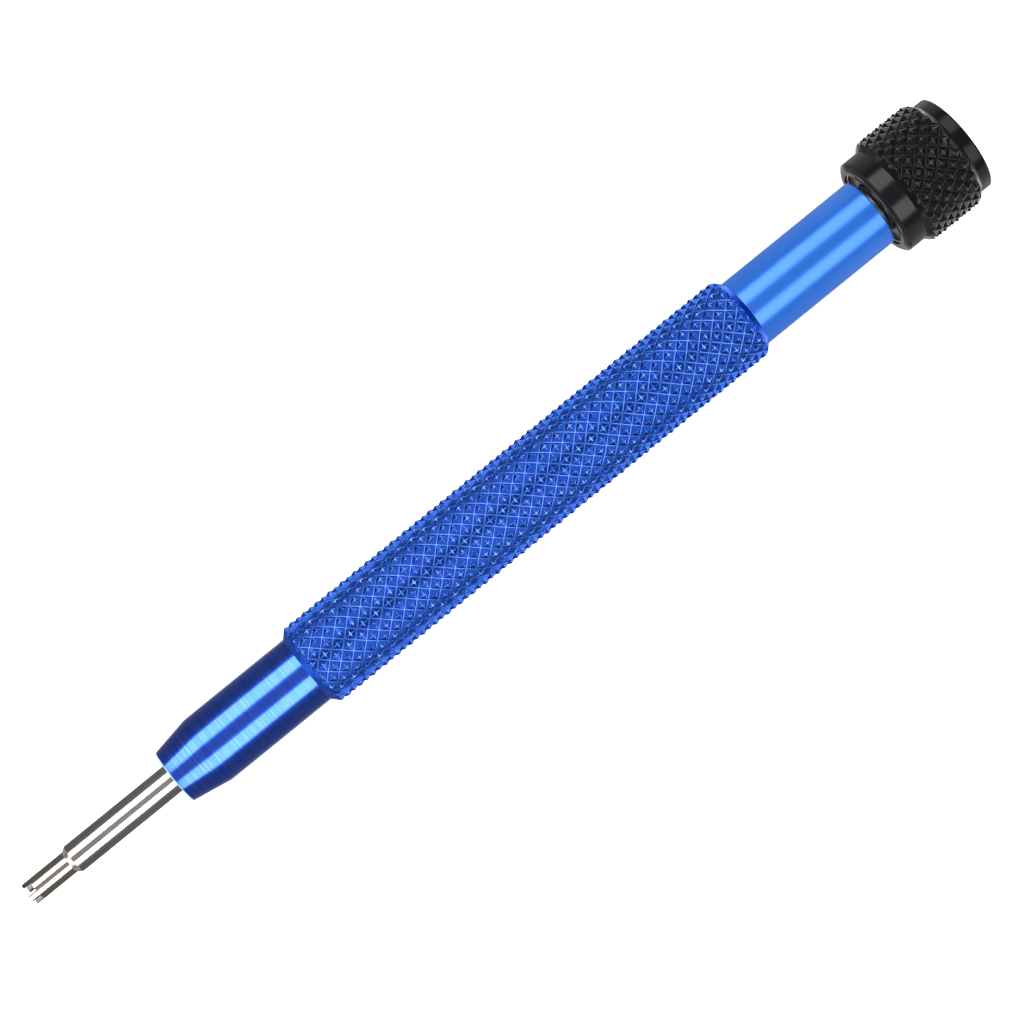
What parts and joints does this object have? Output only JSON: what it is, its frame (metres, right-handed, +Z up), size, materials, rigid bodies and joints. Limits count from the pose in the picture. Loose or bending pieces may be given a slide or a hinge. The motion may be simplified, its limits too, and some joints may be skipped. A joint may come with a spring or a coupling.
{
  "type": "watchmaker screwdriver",
  "caption": "Slim watchmaker's screwdriver with a four-prong tubular bit, knurled handle and ball-bearing swivel cap.",
  "frame": {"origin": "centre of the driver tip's end face, on the tool's axis", "axes": "+X along the tool's axis from the tip to the swivel cap, +Z up with the tool lying down"},
  "size_m": [0.1133, 0.012, 0.012],
  "materials": {
    "blue_anodised": "blue anodised, turned satin with a diamond-knurled grip",
    "black_anodised": "black anodised, turned smooth rings and a diamond-knurled band",
    "tip_steel": "ground and polished tool steel",
    "bearing_steel": "ground and lapped bearing steel",
    "ball_steel": "lapped mirror finish",
    "cage_sheet": "pressed bright steel sheet",
    "shield_sheet": "pressed stainless sheet",
    "spring_wire": "drawn spring wire",
    "washer_steel": "bright zinc-plated steel",
    "black_screw_steel": "black-oxide hardened steel"
  },
  "bodies": {
    "handle": {"handle_body": "blue_anodised", "bearing_inner_ring": "bearing_steel", "shoulder_shim": "washer_steel", "spigot_washer": "washer_steel", "spigot_screw": "washer_steel"},
    "cap": {"swivel_cap": "black_anodised", "bearing_outer_ring": "bearing_steel", "bearing_shield_lower": "shield_sheet", "bearing_shield_upper": "shield_sheet", "shield_snap_ring_lower": "spring_wire", "shield_snap_ring_upper": "spring_wire"},
    "cage": {"bearing_cage_lower": "cage_sheet", "bearing_cage_upper": "cage_sheet"},
    "bit": {"driver_bit": "tip_steel"},
    "set_screw": {"bit_set_screw": "black_screw_steel"},
    "ball_1": {"bearing_ball_1": "ball_steel"},
    "ball_2": {"bearing_ball_2": "ball_steel"},
    "ball_3": {"bearing_ball_3": "ball_steel"},
    "ball_4": {"bearing_ball_4": "ball_steel"},
    "ball_5": {"bearing_ball_5": "ball_steel"},
    "ball_6": {"bearing_ball_6": "ball_steel"},
    "ball_7": {"bearing_ball_7": "ball_steel"}
  },
  "joints": [
    {"name": "cap_spin", "type": "hinge", "parent": "handle", "child": "cap", "pos_m": [0.10486, 0, 0], "axis": [1, 0, 0], "continuous": true},
    {"name": "cage_orbit", "type": "hinge", "parent": "handle", "child": "cage", "pos_m": [0.10486, 0, 0], "axis": [1, 0, 0], "continuous": true},
    {"name": "bit_slide", "type": "slide", "parent": "handle", "child": "bit", "axis": [-1, 0, 0], "range_m": [0, 0.012]},
    {"name": "set_screw_travel", "type": "slide", "parent": "handle", "child": "set_screw", "axis": [0, 0, -1], "range_m": [0, 0.0008]},
    {"name": "ball_1_roll", "type": "hinge", "parent": "cage", "child": "ball_1", "pos_m": [0.10486, 0, 0.00317], "axis": [1, 0, 0], "continuous": true},
    {"name": "ball_2_roll", "type": "hinge", "parent": "cage", "child": "ball_2", "pos_m": [0.10486, 0.00248, 0.00198], "axis": [1, 0, 0], "continuous": true},
    {"name": "ball_3_roll", "type": "hinge", "parent": "cage", "child": "ball_3", "pos_m": [0.10486, 0.0031, -0.00071], "axis": [1, 0, 0], "continuous": true},
    {"name": "ball_4_roll", "type": "hinge", "parent": "cage", "child": "ball_4", "pos_m": [0.10486, 0.00138, -0.00286], "axis": [1, 0, 0], "continuous": true},
    {"name": "ball_5_roll", "type": "hinge", "parent": "cage", "child": "ball_5", "pos_m": [0.10486, -0.00138, -0.00286], "axis": [1, 0, 0], "continuous": true},
    {"name": "ball_6_roll", "type": "hinge", "parent": "cage", "child": "ball_6", "pos_m": [0.10486, -0.0031, -0.00071], "axis": [1, 0, 0], "continuous": true},
    {"name": "ball_7_roll", "type": "hinge", "parent": "cage", "child": "ball_7", "pos_m": [0.10486, -0.00248, 0.00198], "axis": [1, 0, 0], "continuous": true}
  ],
  "couplings": [
    {"joint": "cage_orbit", "follows": "cap_spin", "ratio": 0.62504},
    {"joint": "ball_1_roll", "follows": "cap_spin", "ratio": 1.8743},
    {"joint": "ball_2_roll", "follows": "cap_spin", "ratio": 1.8743},
    {"joint": "ball_3_roll", "follows": "cap_spin", "ratio": 1.8743},
    {"joint": "ball_4_roll", "follows": "cap_spin", "ratio": 1.8743},
    {"joint": "ball_5_roll", "follows": "cap_spin", "ratio": 1.8743},
    {"joint": "ball_6_roll", "follows": "cap_spin", "ratio": 1.8743},
    {"joint": "ball_7_roll", "follows": "cap_spin", "ratio": 1.8743}
  ]
}
